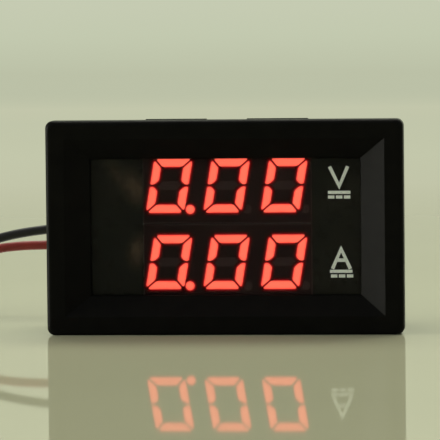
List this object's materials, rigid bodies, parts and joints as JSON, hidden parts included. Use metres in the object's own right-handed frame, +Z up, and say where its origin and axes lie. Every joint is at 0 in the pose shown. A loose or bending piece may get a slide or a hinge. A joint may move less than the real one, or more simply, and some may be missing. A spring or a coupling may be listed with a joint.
{
  "type": "digital panel meter",
  "caption": "LED volt and amp panel meter: snap-in housing with a sloping bezel, stacked segment displays, an open back with trimmers and headers, and a plug-in pair of thin supply leads.",
  "frame": {"origin": "under the middle of the housing, on the surface that the bezel stands on", "axes": "+X to the right as the readout is read, +Y from the face towards the open back, +Z up"},
  "size_m": [0.0965, 0.0516, 0.0288],
  "materials": {
    "black_abs": "moulded, fine satin grain",
    "clear_pane": "clear gloss acrylic, lightly smoked",
    "black_film": "glossy black film",
    "display_body": "dark matt display body",
    "lit_bar": "lit red epoxy",
    "dark_bar": "unlit smoked epoxy",
    "tinned_metal": "bright tin plate",
    "green_board": "green solder mask over copper tracks",
    "chip_epoxy": "matt moulding epoxy",
    "tantalum_resin": "amber moulding resin",
    "resistor_glaze": "dark glaze with tinned ends",
    "capacitor_ceramic": "tan ceramic with tinned ends",
    "shunt_alloy": "copper-nickel wire",
    "trimmer_body": "white ceramic-filled plastic",
    "trimmer_brass": "machined",
    "white_nylon": "natural nylon",
    "solder": "bright solder",
    "contact_brass": "stamped",
    "black_pvc": "satin insulation",
    "red_pvc": "satin insulation",
    "tie_plastic": "flat plastic band"
  },
  "bodies": {
    "meter": {"housing": "black_abs", "window_pane": "clear_pane", "mask_film": "black_film", "volt_display": "display_body", "volt_lit_bars": "lit_bar", "volt_dark_bars": "dark_bar", "volt_display_pins": "tinned_metal", "amp_display": "display_body", "amp_lit_bars": "lit_bar", "amp_dark_bars": "dark_bar", "amp_display_pins": "tinned_metal", "circuit_board": "green_board", "controller_chip": "chip_epoxy", "controller_leads": "tinned_metal", "amplifier_chip": "chip_epoxy", "amplifier_leads": "tinned_metal", "regulator": "chip_epoxy", "regulator_leads": "tinned_metal", "input_diode": "chip_epoxy", "tantalum_capacitors": "tantalum_resin", "terminal_tabs": "tinned_metal", "chip_resistors": "resistor_glaze", "chip_capacitors": "capacitor_ceramic", "current_shunt": "shunt_alloy", "volt_trimmer": "trimmer_body", "amp_trimmer": "trimmer_body", "supply_header": "white_nylon", "supply_header_pins": "tinned_metal", "measuring_header": "white_nylon", "measuring_header_pins": "tinned_metal", "solder_joints": "solder"},
    "volt_rotor": {"volt_trimmer_rotor": "trimmer_brass"},
    "amp_rotor": {"amp_trimmer_rotor": "trimmer_brass"},
    "supply_lead": {"supply_plug": "white_nylon", "plug_contacts": "contact_brass", "black_lead": "black_pvc", "red_lead": "red_pvc", "black_coil": "black_pvc", "red_coil": "red_pvc", "coil_ties": "tie_plastic", "lead_tips": "tinned_metal"}
  },
  "joints": [
    {"name": "volt_trim", "type": "hinge", "parent": "meter", "child": "volt_rotor", "pos_m": [0.0123, 0.0028, 0.0222], "axis": [0, 1, 0], "range_deg": [-105, 105]},
    {"name": "amp_trim", "type": "hinge", "parent": "meter", "child": "amp_rotor", "pos_m": [0.0178, 0.0028, 0.0222], "axis": [0, 1, 0], "range_deg": [-105, 105]},
    {"name": "plug_pull", "type": "slide", "parent": "meter", "child": "supply_lead", "axis": [0, 1, 0], "range_m": [0, 0.007]}
  ]
}
